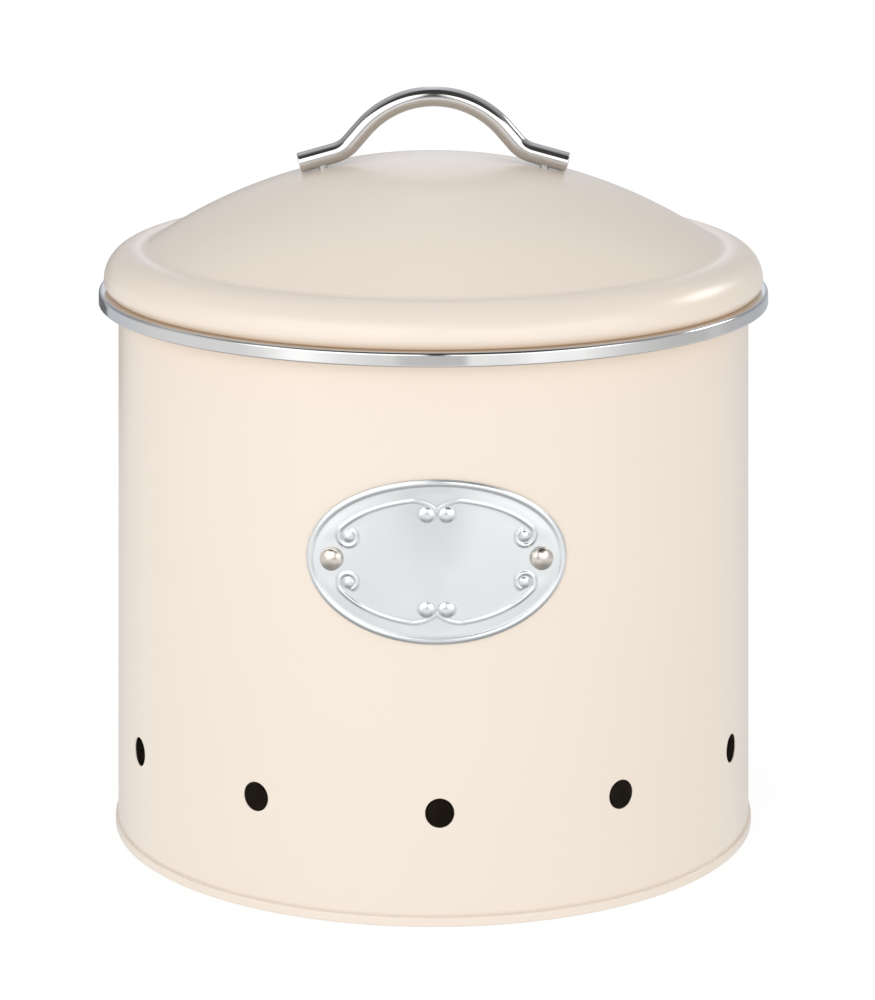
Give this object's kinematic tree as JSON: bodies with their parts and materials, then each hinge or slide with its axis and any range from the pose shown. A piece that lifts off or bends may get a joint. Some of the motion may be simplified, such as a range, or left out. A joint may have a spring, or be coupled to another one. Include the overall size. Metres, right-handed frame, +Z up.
{
  "type": "bread bin",
  "caption": "Round painted steel bread bin with vent holes, a bright rim, a riveted oval label plate and a domed lift-off lid with a bent rod handle.",
  "frame": {"origin": "centre of the ring the bin stands on, at floor level", "axes": "+Z up along the bin's axis, -Y out of the front through the label, +X to the right seen from the front"},
  "size_m": [0.2656, 0.2656, 0.289],
  "materials": {
    "cream_enamel": "satin cream enamel on steel sheet, light orange peel",
    "trim_chrome": "polished bright strip with faint rolling lines",
    "label_tin": "satin pressed tin plate with embossed border",
    "rivet_nickel": "warm nickel, semi-polished",
    "handle_chrome": "polished chrome rod",
    "fastener_zinc": "bright zinc plate"
  },
  "bodies": {
    "bin": {"body_shell": "cream_enamel", "base_disc": "cream_enamel", "rim_trim_ring": "trim_chrome", "label_plate": "label_tin", "label_rivet_left": "rivet_nickel", "label_rivet_right": "rivet_nickel"},
    "lid": {"lid_shell": "cream_enamel", "lid_collar": "cream_enamel", "handle_bar": "handle_chrome", "handle_screw_left": "fastener_zinc", "handle_screw_right": "fastener_zinc", "handle_washer_left": "fastener_zinc", "handle_washer_right": "fastener_zinc"}
  },
  "joints": [
    {"name": "lid_lift", "type": "slide", "parent": "bin", "child": "lid", "axis": [0, 0, 1], "range_m": [0, 0.15]}
  ]
}
